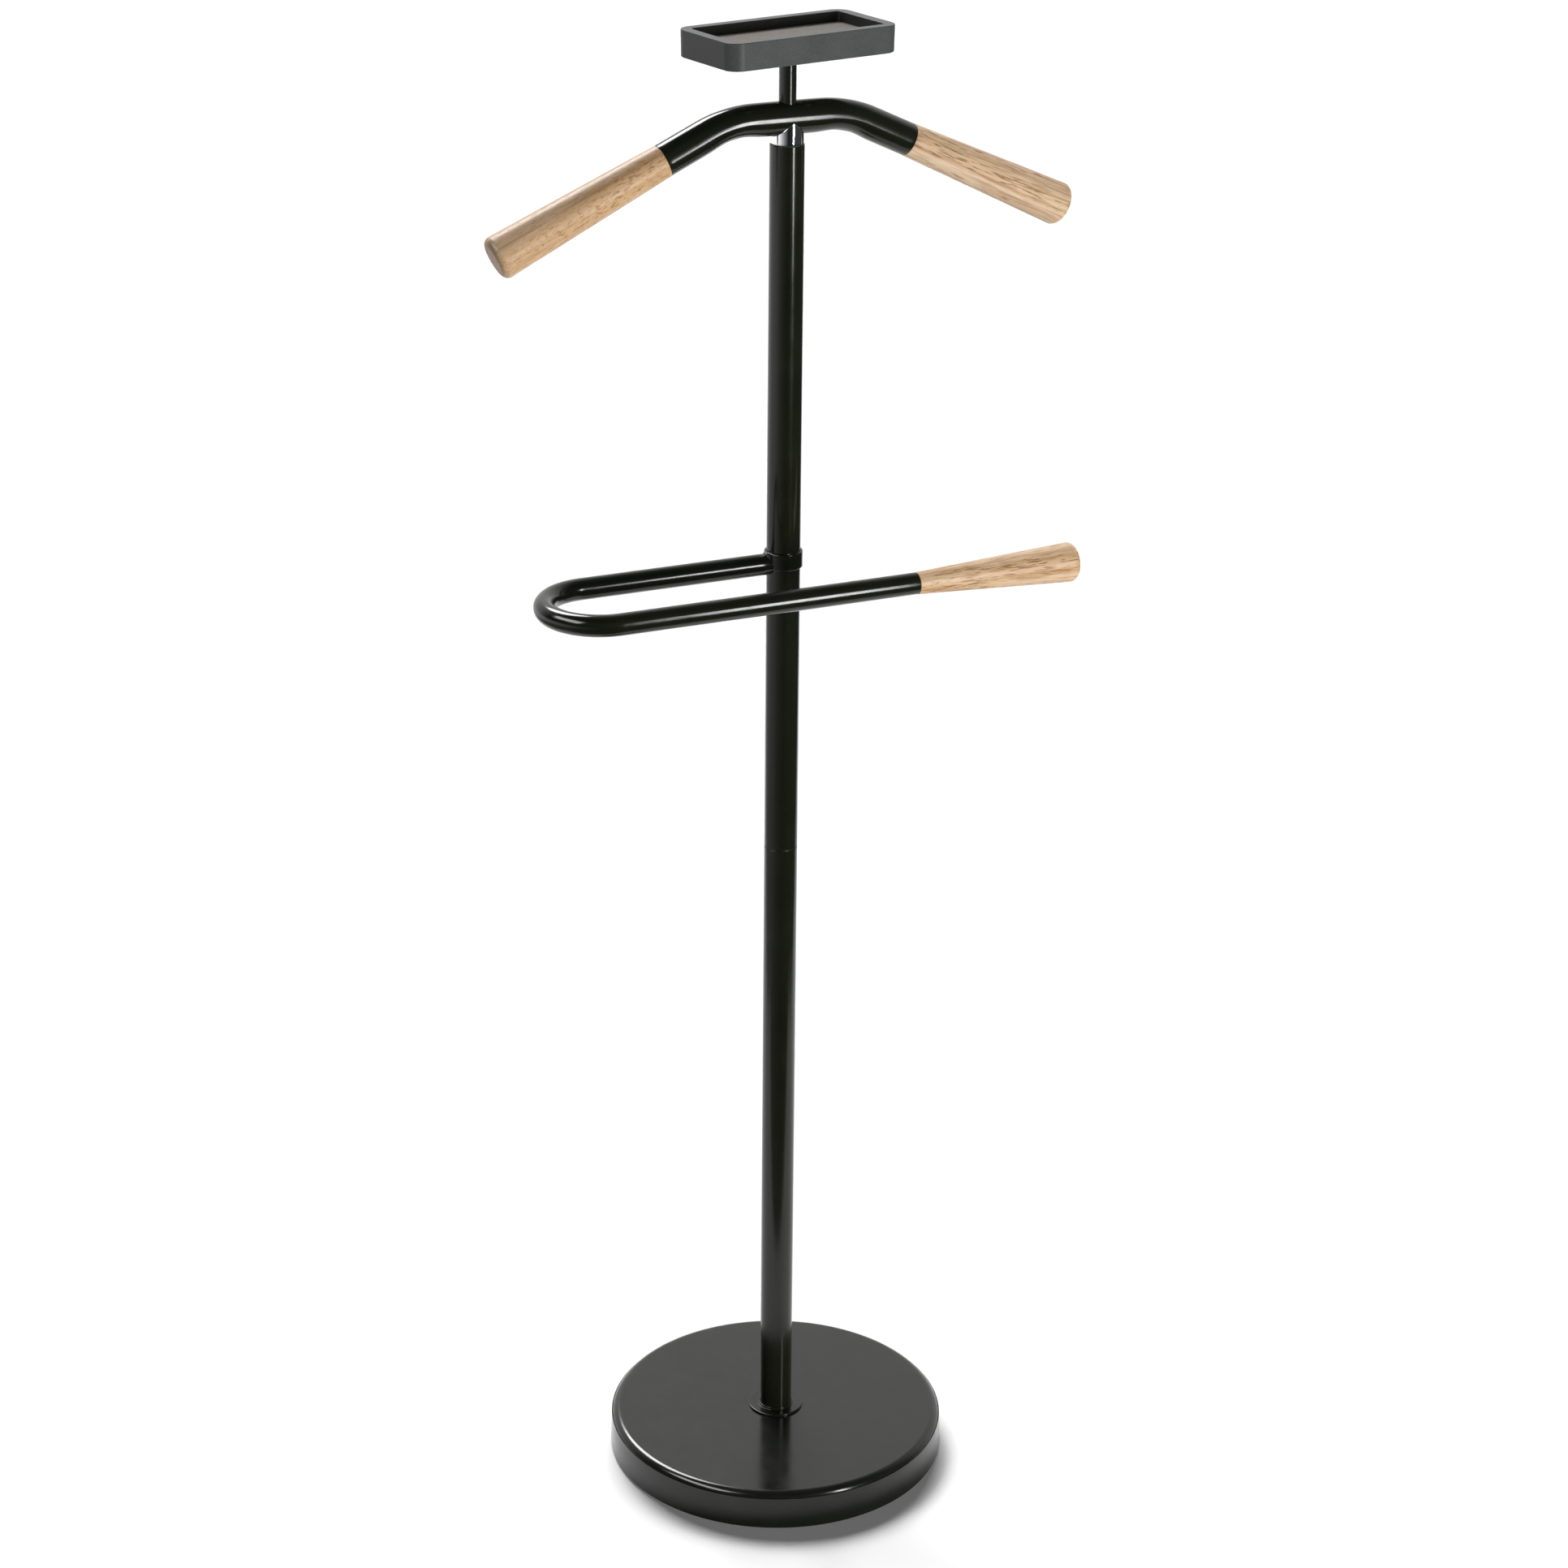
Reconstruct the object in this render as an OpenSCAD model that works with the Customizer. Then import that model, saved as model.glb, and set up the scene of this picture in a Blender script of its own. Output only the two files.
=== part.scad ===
// Free-standing valet stand: a weighted round base, a pole of three tubes, a U-shaped trouser rail
// that turns on a collar, a jacket hanger that turns on a plated neck, and a small tray on a post.
// Origin: on the floor, on the pole's axis. +X runs along the hanger, +Z is up, the trouser rail's
// front leg is on the -Y side.

/* [Base] */
// Diameter of the round base at the floor
base_d = 265; // [230:1:300]
// How much smaller the base's radius is just under its rounded upper edge
base_flare = 0.9; // [0.2:0.1:2]
// Height of the base cover's top above the floor
base_h = 31.6; // [30:0.2:40]
// Radius of the rounded upper edge of the base cover
base_edge_r = 7; // [4:0.5:10]
// Sheet thickness of the pressed base cover
cover_t = 1.2; // [0.8:0.1:2]
// Number of pads under the base
pad_count = 6; // [3:1:8]
// Radius of one pad
pad_r = 9; // [6:0.5:12]
// Thickness of one pad
pad_t = 2; // [1:0.5:3]
// Outer diameter of the ring that hides the foot of the pole
flange_d = 43; // [36:0.5:60]
// Thickness of that ring
flange_t = 1.8; // [1.2:0.1:3]

/* [Pole] */
// Outer diameter of the pole tubes
pole_d = 25; // [25:0.1:26]
// Wall thickness of the pole tubes
pole_wall = 1.2; // [1:0.1:1.4]
// Height of the seam between the lower and the middle tube
seam_z = 520.8; // [400:0.1:600]
// Height of the top end of the upper tube
pole_top_z = 1058; // [950:1:1150]

/* [Trouser rail] */
// Outer diameter of the collar that the rail turns on
collar_d = 28.4; // [28:0.1:34]
// Height of the collar's lower face
collar_z = 744.4; // [680:0.1:800]
// Length of the collar along the pole
collar_l = 12.6; // [11:0.1:20]
// Outer diameter of the rail tube
rail_d = 16; // [14:0.5:18]
// Height of the rail's axis
rail_z = 747.4; // [684:0.1:804]
// Distance from the pole's axis to the centre of the U bend
rail_reach = 159; // [100:1:200]
// Centreline radius of the U bend
rail_bend_r = 40; // [32:1:50]
// Distance past the pole's axis at which the rail tube ends and its wooden grip starts
rail_grip_start = 70; // [50:1:120]
// Length of the rail's wooden grip
rail_grip_l = 128; // [80:1:160]
// Diameter of the rail grip's free end
rail_grip_d = 30.2; // [22:0.2:36]
// Angle that the rail stands turned from the hanger
rail_turn = 0; // [-180:0.5:180]

/* [Hanger] */
// Outer diameter of the hanger tube
hanger_d = 24; // [24:0.2:25]
// Rise of the hanger tube's axis above the pole's top
hanger_lift = 18.5; // [17.5:0.5:30]
// Half the length of the straight stretch at the hanger's centre
hanger_flat = 27; // [20:0.5:50]
// Centreline radius of the two bends
hanger_bend_r = 82; // [50:1:100]
// Downward slope of the arms, in degrees
hanger_slope = 25.2; // [15:0.2:32]
// Length of each arm from its bend point to the start of its grip
arm_l = 54; // [50:1:90]
// Length of each hanger grip
hanger_grip_l = 138.5; // [90:0.5:180]
// Diameter of each hanger grip's free end
hanger_grip_d = 32.2; // [26:0.2:40]
// Outer diameter of the plated neck under the hanger tube
neck_d = 23.8; // [23:0.1:23.8]

/* [Tray] */
// Outer diameter of the tray's post
post_d = 12.4; // [10:0.2:13]
// Height of the tray's lower face above the top of the pole
tray_lift = 63.3; // [50:0.1:90]
// Length of the tray
tray_l = 141; // [110:1:200]
// Width of the tray
tray_w = 73; // [60:1:110]
// Height of the tray
tray_h = 19.5; // [14:0.5:28]
// Radius of the tray's corners
tray_corner_r = 11; // [9:0.5:16]
// Width of the rim around the recess
tray_rim = 8; // [5:0.5:8]
// Depth of the recess
recess_depth = 8.5; // [5:0.5:9]
// Thickness of the mat in the recess
mat_t = 1.5; // [1:0.5:3]
// Angle that the tray stands turned from the hanger
tray_turn = 10.3; // [-180:0.1:180]

/* [Hidden] */
$fn = 96;

cut = 1;            // how far a cutting solid runs past the face that it opens
run_fit = 0.05;     // radial clearance of a turning fit
end_gap = 0.2;      // gap between the ends of parts that turn on each other
loose_fit = 0.3;    // radial clearance of a hole that a shaft only passes through
steel_black = "#1b1b1c";
oiled_wood = "#d9b083";
zinc = "#b9bcc0";
black_nylon = "#2b2b2c";

base_r = base_d / 2;
waist_r = base_r - base_flare;
plate_t = 1;
plate_hole_r = 17;
weight_gap = 1;
weight_edge_r = 8;
pad_inset = 18;
floor_of_cover = pad_t + plate_t;

bolt_r = 4;
bolt_hole_r = 4.5;
bolt_head_flats = 13;
bolt_head_h = 5.3;
bolt_reach = 26;
washer_r = 12;
washer_t = 1.6;
seat_r = 15;
seat_z = floor_of_cover + 10;

pole_r = pole_d / 2;
bore_r = pole_r - pole_wall;
flange_r = flange_d / 2;
flange_edge_r = 0.7;
flange_lip_r = pole_r + 1.35;
flange_lip_h = 3.4;
flange_play = 0.1;
plug_l = 30;
seam_gap = 0.3;
joiner_stud_r = 5;
joiner_stud_l = 22;

collar_r = collar_d / 2;
collar_top = collar_z + collar_l;
collar_edge = 0.6;
journal_r = 10;
spindle_l = 26;
spindle_stud_r = 6;
spindle_stud_l = 20;

rail_r = rail_d / 2;
rail_wall = 1.2;
rail_bore_r = rail_r - rail_wall;
rail_grip_end_r = rail_grip_d / 2;

stud_r = 3;
stud_in_tube = 18;
stud_in_wood = 30;
stud_hole_spare = 2;
end_plug_l = 20;
grip_edge_r = 4.5;
grip_joint_step = 0.1;

post_r = post_d / 2;
post_wall = 1.5;
post_depth = 33;
top_plug_l = 40;
socket_r = 9;
socket_depth = 14;
swivel_washer_t = 0.5;
swivel_washer_hole = socket_r + 0.2;

hanger_r = hanger_d / 2;
hanger_wall = 1.2;
hanger_z = pole_top_z + hanger_lift;
bend_run = hanger_bend_r * tan(hanger_slope / 2);
hanger_half = hanger_flat + bend_run;
bend_run_on = 2;    // degrees that a bend is drawn past the plane where it is trimmed
bend_step = 0.05;   // how much slimmer a bend's wall is drawn than the straight stretches it meets
neck_r = neck_d / 2;
neck_wall = 1.4;
neck_z = pole_top_z + swivel_washer_t + 0.1;
bush_h = 4.5;
bush_spigot_l = 13;

tray_z = pole_top_z + tray_lift;
tray_top = tray_z + tray_h;
mat_gap = 0.6;
plate_size = [64, 38, 2];
plate_corner_r = 5;
screw_inset = 7;
screw_r = 1.6;
screw_l = 9;
screw_head_r = 3.1;
screw_head_h = 1.6;

// A straight tube from z = 0 up to z = h.
module tube(r, wall, h) {
    difference() {
        cylinder(r = r, h = h);
        translate([0, 0, -cut]) cylinder(r = r - wall, h = h + 2 * cut);
    }
}

// A cylinder with a bore right through it.
module bored_plug(r, hole_r, h) {
    tube(r, r - hole_r, h);
}

// A bend of a tube in the XY plane, centred on the origin, from +X.
module tube_bend(r, wall, bend_r, angle) {
    rotate_extrude(angle = angle) translate([bend_r, 0]) difference() {
        circle(r = r);
        circle(r = r - wall);
    }
}

// The half outline of a flat disc with a rounded upper edge.
module disc_outline(r, h, edge_r) {
    square([r, h - edge_r]);
    square([r - edge_r, h]);
    translate([r - edge_r, h - edge_r]) circle(r = edge_r);
}

// The half outline of the base cover: a wall that leans in as it rises, then a rounded upper edge.
// The wall runs down to z = -below.
module cover_outline(foot_r, waist, h, edge_r, below) {
    polygon([
        [0, -below],
        [foot_r, -below],
        [foot_r, 0],
        [waist, h - edge_r],
        [0, h - edge_r]
    ]);
    square([waist - edge_r, h]);
    translate([waist - edge_r, h - edge_r]) circle(r = edge_r);
}

// A plate with rounded corners, centred on the origin, from z = 0 up.
module rounded_plate(l, w, h, corner_r) {
    translate([-l / 2, corner_r - w / 2, 0]) cube([l, w - 2 * corner_r, h]);
    translate([corner_r - l / 2, -w / 2, 0]) cube([l - 2 * corner_r, w, h]);
    for (sx = [-1, 1], sy = [-1, 1])
        translate([sx * (l / 2 - corner_r), sy * (w / 2 - corner_r), 0])
            cylinder(r = corner_r, h = h);
}

// A turned grip along +Z: a taper from start_r to end_r with a flat, round-edged free end, and a
// blind hole for its stud in the start face.
module turned_grip(start_r, end_r, l) {
    taper = atan((end_r - start_r) / l);
    edge_z = l - grip_edge_r;
    edge_x = start_r + edge_z * tan(taper) - grip_edge_r / cos(taper);
    difference() {
        rotate_extrude() {
            polygon([
                [0, 0],
                [start_r, 0],
                [edge_x + grip_edge_r * cos(taper), edge_z - grip_edge_r * sin(taper)],
                [edge_x, edge_z],
                [edge_x, l],
                [0, l]
            ]);
            translate([edge_x, edge_z]) circle(r = grip_edge_r);
        }
        translate([0, 0, -cut]) cylinder(r = stud_r, h = stud_in_wood + stud_hole_spare + cut);
    }
}

// Places a child that is drawn along +Z at the start of a hanger grip: side 1 is right, -1 is left.
module at_grip(side) {
    arm_x = hanger_half + arm_l * cos(hanger_slope);
    arm_z = hanger_z - arm_l * sin(hanger_slope);
    translate([side * arm_x, 0, arm_z]) rotate([0, side * (90 + hanger_slope), 0]) children();
}

// Places a child that is drawn along +Z at the end of the rail tube's front leg.
module at_rail_end() {
    rotate([0, 0, rail_turn])
        translate([rail_grip_start, -2 * rail_bend_r, rail_z]) rotate([0, 90, 0]) children();
}

// ---- base ----

module base_cover() {
    h = base_h - pad_t;
    color(steel_black) translate([0, 0, pad_t]) difference() {
        rotate_extrude() cover_outline(base_r, waist_r, h, base_edge_r, 0);
        rotate_extrude() cover_outline(base_r - cover_t, waist_r - cover_t, h - cover_t,
            base_edge_r - cover_t, cut);
        cylinder(r = bolt_hole_r, h = h + cut);
    }
}

module base_weight() {
    h = base_h - cover_t - floor_of_cover;
    color("#8d8b86") translate([0, 0, floor_of_cover]) difference() {
        rotate_extrude() disc_outline(waist_r - cover_t - weight_gap, h, weight_edge_r);
        translate([0, 0, -cut]) cylinder(r = bolt_hole_r, h = h + 2 * cut);
        translate([0, 0, -cut]) cylinder(r = seat_r, h = seat_z - floor_of_cover + cut);
    }
}

module base_plate() {
    color("#2a2a2b") translate([0, 0, pad_t])
        bored_plug(base_r - cover_t - loose_fit, plate_hole_r, plate_t);
}

module base_feet() {
    color("#202020") for (i = [0 : pad_count - 1])
        rotate([0, 0, i * 360 / pad_count])
            translate([base_r - pad_inset, 0, 0]) cylinder(r = pad_r, h = pad_t);
}

module base_washer() {
    color(zinc) translate([0, 0, seat_z - washer_t]) bored_plug(washer_r, bolt_r + run_fit, washer_t);
}

module base_bolt() {
    under_head = seat_z - washer_t;
    color(zinc) {
        translate([0, 0, under_head - bolt_head_h])
            cylinder(d = bolt_head_flats / cos(30), h = bolt_head_h, $fn = 6);
        translate([0, 0, under_head]) cylinder(r = bolt_r, h = base_h + bolt_reach - under_head);
    }
}

module pole_flange() {
    color(steel_black) translate([0, 0, base_h]) difference() {
        union() {
            rotate_extrude() disc_outline(flange_r, flange_t, flange_edge_r);
            rotate_extrude() disc_outline(flange_lip_r, flange_lip_h, flange_edge_r);
        }
        translate([0, 0, -cut]) cylinder(r = pole_r + flange_play, h = flange_lip_h + 2 * cut);
    }
}

// ---- pole ----

module foot_plug() {
    color(zinc) translate([0, 0, base_h]) bored_plug(bore_r, bolt_r, plug_l);
}

module lower_tube() {
    color(steel_black) translate([0, 0, base_h]) tube(pole_r, pole_wall, seam_z - base_h);
}

module joiner_socket() {
    color(zinc) translate([0, 0, seam_z + seam_gap - plug_l]) bored_plug(bore_r, joiner_stud_r, plug_l);
}

module joiner_stud() {
    color(zinc) translate([0, 0, seam_z + seam_gap]) {
        cylinder(r = bore_r, h = plug_l);
        translate([0, 0, -joiner_stud_l]) cylinder(r = joiner_stud_r, h = joiner_stud_l);
    }
}

module middle_tube() {
    start = seam_z + seam_gap;
    color(steel_black) translate([0, 0, start])
        tube(pole_r, pole_wall, collar_z - end_gap - start);
}

// The turned core that joins the middle and upper tubes; the collar runs on its journal.
module collar_spindle() {
    journal_l = collar_l + 2 * end_gap;
    color(zinc) translate([0, 0, collar_z - end_gap]) {
        translate([0, 0, -spindle_l]) cylinder(r = bore_r, h = spindle_l);
        cylinder(r = journal_r, h = journal_l);
        translate([0, 0, journal_l]) cylinder(r = spindle_stud_r, h = spindle_stud_l);
    }
}

module upper_socket() {
    color(zinc) translate([0, 0, collar_top + end_gap]) bored_plug(bore_r, spindle_stud_r, plug_l);
}

module upper_tube() {
    start = collar_top + end_gap;
    color(steel_black) translate([0, 0, start]) tube(pole_r, pole_wall, pole_top_z - start);
}

// Carries the tray's post in its bore and the hanger's bush in the wider socket above.
module top_plug() {
    color(zinc) translate([0, 0, pole_top_z - top_plug_l]) difference() {
        cylinder(r = bore_r, h = top_plug_l);
        translate([0, 0, top_plug_l - post_depth])
            cylinder(r = post_r + run_fit, h = post_depth + cut);
        translate([0, 0, top_plug_l - socket_depth]) cylinder(r = socket_r, h = socket_depth + cut);
    }
}

module swivel_washer() {
    color(black_nylon) translate([0, 0, pole_top_z])
        bored_plug(neck_r, swivel_washer_hole, swivel_washer_t);
}

// ---- trouser rail ----

module rail_collar() {
    color(steel_black) translate([0, 0, collar_z]) rotate_extrude() polygon([
        [journal_r + run_fit, 0],
        [collar_r - collar_edge, 0],
        [collar_r, collar_edge],
        [collar_r, collar_l - collar_edge],
        [collar_r - collar_edge, collar_l],
        [journal_r + run_fit, collar_l]
    ]);
}

module trouser_rail() {
    color(steel_black) rotate([0, 0, rail_turn]) difference() {
        translate([-rail_reach, 0, rail_z]) {
            rotate([0, 90, 0]) tube(rail_r, rail_wall, rail_reach);
            translate([0, -rail_bend_r, 0]) rotate([0, 0, 90])
                tube_bend(rail_r, rail_wall, rail_bend_r, 180);
            translate([0, -2 * rail_bend_r, 0]) rotate([0, 90, 0])
                tube(rail_r, rail_wall, rail_reach + rail_grip_start);
        }
        translate([0, 0, rail_z - 2 * rail_r]) cylinder(r = collar_r, h = 4 * rail_r);
    }
}

module rail_end_plug() {
    color(zinc) at_rail_end() translate([0, 0, -end_plug_l])
        bored_plug(rail_bore_r, stud_r, end_plug_l);
}

module rail_stud() {
    color(zinc) at_rail_end() translate([0, 0, -stud_in_tube])
        cylinder(r = stud_r, h = stud_in_tube + stud_in_wood);
}

module rail_grip() {
    color(oiled_wood) at_rail_end()
        turned_grip(rail_r + grip_joint_step, rail_grip_end_r, rail_grip_l);
}

// ---- hanger ----

module hanger_neck() {
    color("#d5d8dc") difference() {
        translate([0, 0, neck_z]) tube(neck_r, neck_wall, hanger_z - neck_z);
        translate([-2 * neck_r, 0, hanger_z]) rotate([0, 90, 0])
            cylinder(r = hanger_r, h = 4 * neck_r);
    }
}

// Presses into the neck; its spigot turns in the top plug's socket.
module neck_bush() {
    color(black_nylon) difference() {
        union() {
            translate([0, 0, neck_z]) cylinder(r = neck_r - neck_wall, h = bush_h);
            translate([0, 0, neck_z - bush_spigot_l])
                cylinder(r = socket_r - run_fit, h = bush_spigot_l);
        }
        translate([0, 0, neck_z - bush_spigot_l - cut])
            cylinder(r = post_r + run_fit, h = bush_spigot_l + bush_h + 2 * cut);
    }
}

// One bend and arm of the hanger tube, drawn about the bend's own centre. The bend runs on a little
// past the straight centre stretch's end and is trimmed there.
module hanger_arm() {
    trim = 4 * hanger_r;
    difference() {
        translate([hanger_flat, 0, hanger_z - hanger_bend_r]) rotate([90, 0, 0])
            rotate([0, 0, 90 - hanger_slope]) {
                tube_bend(hanger_r - bend_step, hanger_wall - 2 * bend_step, hanger_bend_r,
                    hanger_slope + bend_run_on);
                translate([hanger_bend_r, 0, 0]) rotate([90, 0, 0])
                    tube(hanger_r, hanger_wall, arm_l - bend_run);
            }
        translate([hanger_flat - trim, -trim / 2, hanger_z - trim / 2]) cube(trim);
    }
}

module hanger_tube() {
    color(steel_black) difference() {
        union() {
            translate([-hanger_flat, 0, hanger_z]) rotate([0, 90, 0])
                tube(hanger_r, hanger_wall, 2 * hanger_flat);
            hanger_arm();
            mirror([1, 0, 0]) hanger_arm();
        }
        translate([0, 0, hanger_z - 2 * hanger_r])
            cylinder(r = post_r + loose_fit, h = 4 * hanger_r);
    }
}

module hanger_end_plugs() {
    color(zinc) for (side = [-1, 1]) at_grip(side) translate([0, 0, -end_plug_l])
        bored_plug(hanger_r - hanger_wall, stud_r, end_plug_l);
}

module hanger_studs() {
    color(zinc) for (side = [-1, 1]) at_grip(side) translate([0, 0, -stud_in_tube])
        cylinder(r = stud_r, h = stud_in_tube + stud_in_wood);
}

module hanger_grip(side) {
    color(oiled_wood) at_grip(side)
        turned_grip(hanger_r + grip_joint_step, hanger_grip_d / 2, hanger_grip_l);
}

module left_grip() {
    hanger_grip(-1);
}

module right_grip() {
    hanger_grip(1);
}

// ---- tray ----

module tray_post() {
    foot_z = pole_top_z - post_depth + end_gap;
    color(steel_black) translate([0, 0, foot_z]) tube(post_r, post_wall, tray_z - foot_z);
}

// Repeats a child at the four screws of the tray's mounting plate.
module at_tray_screws() {
    for (sx = [-1, 1], sy = [-1, 1])
        translate([sx * (plate_size.x / 2 - screw_inset), sy * (plate_size.y / 2 - screw_inset), 0])
            children();
}

module tray_plate() {
    color(steel_black) rotate([0, 0, tray_turn]) translate([0, 0, tray_z - plate_size.z])
        difference() {
            rounded_plate(plate_size.x, plate_size.y, plate_size.z, plate_corner_r);
            translate([0, 0, -cut]) cylinder(r = post_r, h = plate_size.z + 2 * cut);
            at_tray_screws() translate([0, 0, -cut])
                cylinder(r = screw_r, h = plate_size.z + 2 * cut);
        }
}

module tray_screws() {
    under_plate = tray_z - plate_size.z;
    color(zinc) rotate([0, 0, tray_turn]) at_tray_screws() {
        translate([0, 0, under_plate - screw_head_h]) cylinder(r = screw_head_r, h = screw_head_h);
        translate([0, 0, under_plate]) cylinder(r = screw_r, h = screw_l);
    }
}

module tray_body() {
    color("#3a3b3d") rotate([0, 0, tray_turn]) translate([0, 0, tray_z]) difference() {
        rounded_plate(tray_l, tray_w, tray_h, tray_corner_r);
        translate([0, 0, tray_h - recess_depth])
            rounded_plate(tray_l - 2 * tray_rim, tray_w - 2 * tray_rim, recess_depth + cut,
                tray_corner_r - tray_rim);
        at_tray_screws() translate([0, 0, -cut])
            cylinder(r = screw_r, h = screw_l - plate_size.z + cut);
    }
}

module tray_mat() {
    shrink = 2 * (tray_rim + mat_gap);
    color("#6f655c") rotate([0, 0, tray_turn]) translate([0, 0, tray_top - recess_depth])
        rounded_plate(tray_l - shrink, tray_w - shrink, mat_t, tray_corner_r - tray_rim - mat_gap);
}

base_cover();
base_weight();
base_plate();
base_feet();
base_washer();
base_bolt();
pole_flange();
foot_plug();
lower_tube();
joiner_socket();
joiner_stud();
middle_tube();
collar_spindle();
upper_socket();
upper_tube();
top_plug();
swivel_washer();
rail_collar();
trouser_rail();
rail_end_plug();
rail_stud();
rail_grip();
hanger_neck();
neck_bush();
hanger_tube();
hanger_end_plugs();
hanger_studs();
left_grip();
right_grip();
tray_post();
tray_plate();
tray_screws();
tray_body();
tray_mat();
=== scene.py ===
"""Looks of the free-standing valet stand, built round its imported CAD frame. All lengths are in metres.

The stand rests on the floor at z = 0 with the pole on the Z axis. The hanger and
the trouser rail run along X, and the tray is turned a little from them about the pole.
"""

import math

import bmesh
import bpy
import numpy as np
from mathutils import Matrix, Vector


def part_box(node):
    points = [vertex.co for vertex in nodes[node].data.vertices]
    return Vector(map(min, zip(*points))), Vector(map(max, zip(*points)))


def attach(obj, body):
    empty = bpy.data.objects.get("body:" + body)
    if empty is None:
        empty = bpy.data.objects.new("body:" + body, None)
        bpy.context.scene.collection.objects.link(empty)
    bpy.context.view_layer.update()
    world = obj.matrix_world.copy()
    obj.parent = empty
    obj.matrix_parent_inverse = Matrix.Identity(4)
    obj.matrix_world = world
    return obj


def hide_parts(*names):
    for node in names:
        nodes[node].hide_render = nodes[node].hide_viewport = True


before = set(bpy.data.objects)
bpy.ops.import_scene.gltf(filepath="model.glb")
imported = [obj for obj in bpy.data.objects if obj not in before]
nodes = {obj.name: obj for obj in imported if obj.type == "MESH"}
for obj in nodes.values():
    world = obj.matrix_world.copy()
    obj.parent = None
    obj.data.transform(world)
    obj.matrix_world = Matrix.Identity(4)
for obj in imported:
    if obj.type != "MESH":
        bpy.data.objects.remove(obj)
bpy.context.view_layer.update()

MM = 0.001

# How the swivelling groups stand, and the sizes that the boxes of the CAD nodes don't give.
RAIL_TURN = 0.0
TRAY_TURN = math.radians(10.3)
HANGER_SLOPE = math.radians(25.2)
HANGER_BEND_R = 82 * MM
HANGER_FLAT = 27 * MM
HANGER_WALL = 1.2 * MM
RAIL_WALL = 1.2 * MM
POLE_WALL = 1.2 * MM
POST_WALL = 1.5 * MM
COVER_SHEET = 1.2 * MM
BASE_EDGE_R = 7 * MM
BASE_FLARE = 0.9 * MM
PAD_COUNT = 6
PAD_R = 9 * MM
TUBE_EDGE = 0.3 * MM
GRIP_EDGE_R = 5 * MM
GRIP_STEP = 0.1 * MM
TRAY_CORNER_R = 11 * MM
TRAY_RIM = 8 * MM
RECESS_DEPTH = 8.5 * MM

# The camera that the stand is seen from.
CAMERA_AZIMUTH = math.radians(-113.9)
CAMERA_DISTANCE = 2.5286
CAMERA_HEIGHT = 1.6214
CAMERA_PITCH = 0.3724
CAMERA_PAN = 0.0006
CAMERA_ROLL = 0.0095
CAMERA_LENS_MM = 83.64
CAMERA_SENSOR_MM = 36.0
CAMERA_SHIFT_Y = -0.0497

# Corners of the two floor sheets: (right of the pole, towards the camera) in metres.
FLOOR_CORNERS = ((-80, 80), (80, 80), (80, -80), (-80, -80))
LIT_CORNERS = ((-0.74, 0.33), (0.74, 0.33), (17.0, -60.0), (-17.0, -60.0))

# Radiances round the stand, and the floor's trace of its own light.
BACKDROP_RADIANCE = 1.08
SKY_RADIANCE = 1.08
HORIZON_LEFT_RADIANCE = 1.4
FLOOR_GLOW = 0.02

TINY = 1e-9
UP = Vector((0, 0, 1))


# ---------------------------------------------------------------- measuring the frame


def local_box(node, place):
    """The lowest and highest corner of a CAD node, measured in the frame that the matrix place sets up."""
    inverse = place.inverted()
    points = np.array([inverse @ v.co for v in nodes[node].data.vertices], float)
    return Vector(points.min(0)), Vector(points.max(0))


def turned(angle):
    """A frame turned about the pole's axis."""
    return Matrix.Rotation(angle, 4, "Z")


def radius_of(node):
    low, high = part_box(node)
    return (high.x - low.x) / 2


# ---------------------------------------------------------------- meshes


def soft_corners(corners, steps=6):
    """A closed outline from (a, b, radius) corners, each corner with a radius turned into an arc."""
    outline = []
    count = len(corners)
    for index, (a, b, radius) in enumerate(corners):
        here = Vector((a, b))
        if radius <= 0:
            outline.append((a, b))
            continue
        before = Vector(corners[index - 1][:2]) - here
        after = Vector(corners[(index + 1) % count][:2]) - here
        before.normalize()
        after.normalize()
        half = before.angle(after) / 2
        reach = radius / math.tan(half)
        centre = here + (before + after).normalized() * (radius / math.sin(half))
        start = here + before * reach - centre
        end = here + after * reach - centre
        sweep_angle = start.angle_signed(end)
        for step in range(steps + 1):
            turn = Matrix.Rotation(-sweep_angle * step / steps, 2)
            outline.append(tuple(centre + turn @ start))
    return outline


def join_loops(shape, loops, closed):
    """Adds the faces between neighbouring loops of points. A loop of one point closes an end."""
    rings = [[shape.verts.new(p) for p in loop] for loop in loops]
    pairs = list(zip(rings, rings[1:]))
    if closed:
        pairs.append((rings[-1], rings[0]))
    for first, second in pairs:
        count = max(len(first), len(second))
        for i in range(count):
            j = (i + 1) % count
            if len(first) == 1:
                corners = (first[0], second[j], second[i])
            elif len(second) == 1:
                corners = (first[i], first[j], second[0])
            else:
                corners = (first[i], first[j], second[j], second[i])
            shape.faces.new(corners)


def mesh_of(name, parts, closed=False):
    """One mesh of separate parts, each given by its loops of points."""
    mesh = bpy.data.meshes.new(name)
    shape = bmesh.new()
    for loops in parts:
        join_loops(shape, loops, closed)
    bmesh.ops.recalc_face_normals(shape, faces=shape.faces)
    shape.to_mesh(mesh)
    shape.free()
    return mesh


def finish_piece(name, mesh, body, material, replaces=()):
    """Links a mesh as a piece of the stand, smooth and with its material, riding on its body."""
    piece = bpy.data.objects.new(name, mesh)
    bpy.context.scene.collection.objects.link(piece)
    mesh.materials.append(material)
    mesh.polygons.foreach_set("use_smooth", [True] * len(mesh.polygons))
    normals = piece.modifiers.new("even_normals", "WEIGHTED_NORMAL")
    normals.mode = "FACE_AREA"
    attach(piece, body)
    if replaces:
        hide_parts(*replaces)
    return piece


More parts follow.
